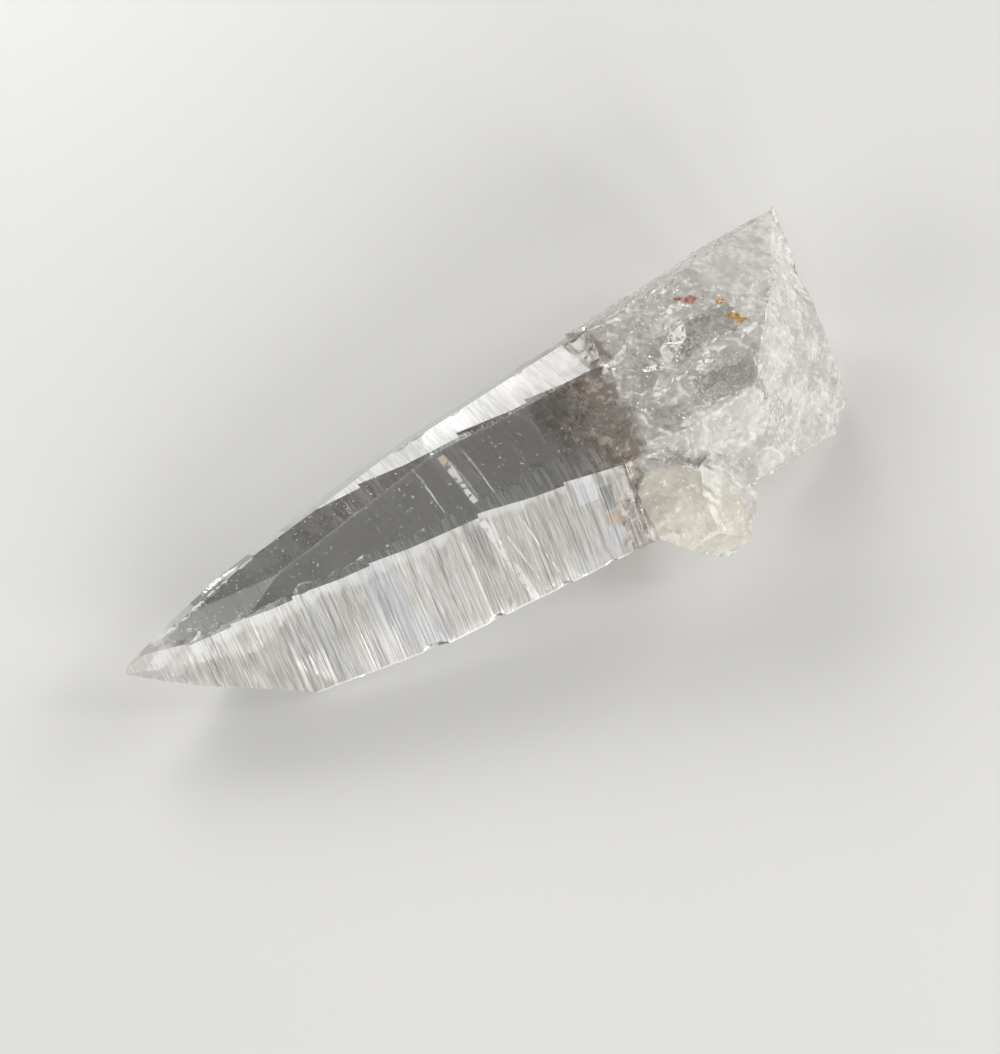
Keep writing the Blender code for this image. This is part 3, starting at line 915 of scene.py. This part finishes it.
def crack_sheets(solid, sheets, reach, pull, name, material):
    """Crumpled sheets inside the crystal, each cut off at its ends."""
    whole = bmesh.new()
    for index, (through, facing, span) in enumerate(sheets):
        facing = Vector(facing).normalized()
        sheet = cross_sheet(solid, Vector(through), facing, 0.5, 0.975)
        outside = [face for face in sheet.faces if not span[0] < face.calc_center_median().x < span[1]]
        bmesh.ops.delete(sheet, geom=outside, context="FACES")
        crumple(sheet, facing, reach, pull, index * 7.3)
        mesh = bpy.data.meshes.new("part")
        sheet.to_mesh(mesh)
        sheet.free()
        whole.from_mesh(mesh)
        bpy.data.meshes.remove(mesh)
    bmesh.ops.triangulate(whole, faces=whole.faces)
    return join_frame(finish_piece(whole, name, material, smooth=True))


def ribbon(bm, start, end, facing, width, lean, depth):
    """A thin strip under a face, leaning into the crystal."""
    along = (end - start).normalized()
    side = facing.cross(along).normalized() * width
    rows = []
    for index in range(STREAK_STEPS + 1):
        share = index / STREAK_STEPS
        near = start.lerp(end, share) - facing * depth
        taper = math.sin(math.pi * min(0.999, max(0.001, share))) ** 0.4
        rows.append((bm.verts.new(near), bm.verts.new(near + side * taper - facing * lean * taper)))
    for (one, two), (three, four) in zip(rows, rows[1:]):
        bm.faces.new((one, two, four, three))


def healed_bands():
    """White cracks that run across the blade, each a group of thin straight streaks."""
    rng = random.Random(3)
    bm = bmesh.new()
    for streaks, (_, facing) in ((TOP_STREAKS, TOP), (FRONT_STREAKS, FRONT)):
        for start, end, spread, count in streaks:
            start, end = Vector(start), Vector(end)
            for _ in range(count):
                first = rng.uniform(0.0, 0.25) if count < 6 else rng.uniform(0.0, 0.1)
                last = rng.uniform(0.55, 1.0) if count < 6 else rng.uniform(0.9, 1.0)
                shift = Vector((rng.uniform(0.0, spread), 0, 0))
                shift -= facing * shift.dot(facing)
                width = rng.uniform(0.12, 0.32)
                one = start.lerp(end, first) + shift
                two = start.lerp(end, last) + shift * rng.uniform(0.8, 1.1)
                ribbon(bm, one, two, facing, width, rng.uniform(0.1, 0.5), rng.uniform(0.15, 0.3))
    return join_frame(finish_piece(bm, "healed_bands", healed_finish()))


def glint_tree(material):
    """Scatters flakes between a shell and its middle."""
    tree = bpy.data.node_groups.new("scatter_glints", "GeometryNodeTree")
    shell_input = tree.interface.new_socket("Shell", in_out="INPUT", socket_type="NodeSocketGeometry")
    for name in ("Flakes per area", "Flake size"):
        tree.interface.new_socket(name, in_out="INPUT", socket_type="NodeSocketFloat")
    tree.interface.new_socket("Middle", in_out="INPUT", socket_type="NodeSocketVector")
    tree.interface.new_socket("Flakes", in_out="OUTPUT", socket_type="NodeSocketGeometry")
    graph = Graph(tree)
    source = tree.nodes.new("NodeGroupInput")
    given = {socket.name: Value(graph, socket) for socket in source.outputs if socket.name}
    points = graph.add(
        "GeometryNodeDistributePointsOnFaces",
        inputs={"Mesh": given["Shell"], "Density": given["Flakes per area"], "Seed": 4},
    )
    here = graph.add("GeometryNodeInputPosition")
    depth = graph.add("FunctionNodeRandomValue", {"data_type": "FLOAT"}, {2: 0.02, 3: 0.85, "Seed": 9}, out=1)
    sunk = graph.add(
        "ShaderNodeMix", {"data_type": "VECTOR"}, {0: depth ** 1.6, 4: here, 5: given["Middle"]}, out=1
    )
    moved = graph.add("GeometryNodeSetPosition", inputs={"Geometry": points, "Position": sunk})
    outline = {"Vertices": 5, "Radius": given["Flake size"]}
    flake = graph.add("GeometryNodeMeshCircle", {"fill_type": "NGON"}, outline)
    vectors = {"data_type": "FLOAT_VECTOR"}
    turn = graph.add("FunctionNodeRandomValue", vectors, {0: (0, 0, 0), 1: (6.28, 6.28, 6.28), "Seed": 2})
    scale = graph.add("FunctionNodeRandomValue", vectors, {0: (0.2, 0.2, 0.2), 1: (1.0, 1.6, 1.0), "Seed": 6})
    flakes = graph.add(
        "GeometryNodeInstanceOnPoints",
        inputs={"Points": moved, "Instance": flake, "Rotation": turn, "Scale": scale},
    )
    whole = graph.add("GeometryNodeRealizeInstances", inputs={"Geometry": flakes})
    painted = graph.add("GeometryNodeSetMaterial", inputs={"Geometry": whole, "Material": material})
    sink = tree.nodes.new("NodeGroupOutput")
    tree.links.new(painted.socket, sink.inputs[0])
    return tree


def root_glints(solid):
    """The frosty haze of the root."""
    bm = solid.copy()
    for through, facing in (((BLADE_END + 1.0, 0, 0), (1, 0, 0)), ((0, 0, 0.6), (0, 0, 1))):
        everything = bm.verts[:] + bm.edges[:] + bm.faces[:]
        bmesh.ops.bisect_plane(
            bm,
            geom=everything,
            dist=1e-5,
            plane_co=Vector(through),
            plane_no=Vector(facing),
            clear_inner=True,
        )
    bmesh.ops.scale(bm, vec=(MM,) * 3, verts=bm.verts)
    mesh = bpy.data.meshes.new("root_shell")
    bm.to_mesh(mesh)
    bm.free()
    shell = bpy.data.objects.new("root_shell", mesh)
    bpy.context.scene.collection.objects.link(shell)
    material = glint_finish()
    tree = glint_tree(material)
    modifier = shell.modifiers.new("glints", "NODES")
    modifier.node_group = tree
    names = {item.name: item.identifier for item in tree.interface.items_tree if item.in_out == "INPUT"}
    modifier[names["Flakes per area"]] = FLAKES_PER_AREA
    modifier[names["Flake size"]] = FLAKE_SIZE
    modifier[names["Middle"]] = ROOT_MIDDLE
    graph = bpy.context.evaluated_depsgraph_get()
    flakes = bpy.data.meshes.new_from_object(shell.evaluated_get(graph))
    bpy.data.objects.remove(shell, do_unlink=True)
    piece = bpy.data.objects.new("frosty_glints", flakes)
    bpy.context.scene.collection.objects.link(piece)
    return join_frame(piece)


# The set.


def floor():
    bm = bmesh.new()
    bmesh.ops.create_grid(bm, x_segments=1, y_segments=1, size=FLOOR_SIZE)
    bmesh.ops.translate(bm, vec=(0, 0, -FLOOR_DEPTH), verts=bm.verts)
    finish_piece(bm, "floor", floor_finish())


def direction(azimuth, elevation):
    """The way from the middle towards a place at these angles, in radians."""
    level = math.cos(elevation)
    return Vector((math.sin(azimuth) * level, -math.cos(azimuth) * level, math.sin(elevation)))


def softbox(name, azimuth, elevation, distance, size, power):
    light = bpy.data.lights.new(name, "AREA")
    light.shape = "RECTANGLE"
    light.size, light.size_y = size
    light.energy = power
    lamp = bpy.data.objects.new(name, light)
    way = direction(math.radians(azimuth), math.radians(elevation))
    lamp.location = way * distance
    lamp.rotation_euler = way.to_track_quat("Z", "Y").to_euler()
    bpy.context.scene.collection.objects.link(lamp)


def studio():
    for name, settings in SOFTBOXES.items():
        softbox(name, *settings)
    world = bpy.data.worlds.new("studio")
    bpy.context.scene.world = world
    world.use_nodes = True
    set_plain(world.node_tree.nodes["Background"], Color=ROOM_COLOUR, Strength=ROOM_LIGHT)
    bpy.context.scene.view_settings.view_transform = "Standard"


def camera():
    lens = bpy.data.cameras.new("camera")
    lens.lens = LENS
    lens.clip_start = 0.01
    view = bpy.data.objects.new("camera", lens)
    back = direction(AZIMUTH, ELEVATION)
    view.location = (AIM + back * CAMERA_REACH) * MM
    view.rotation_euler = back.to_track_quat("Z", "Y").to_euler()
    bpy.context.scene.collection.objects.link(view)
    bpy.context.scene.camera = view


def main():
    solid = merged_copy(NODE)
    crystal_piece()
    crack_sheets(solid, VEILS, 0.55, 0.5, "brown_veil", veil_finish())
    crack_sheets(solid, CLOUDS, 0.7, 0.35, "cloudy_cracks", cloud_finish())
    healed_bands()
    root_glints(solid)
    solid.free()
    floor()
    studio()
    camera()


main()
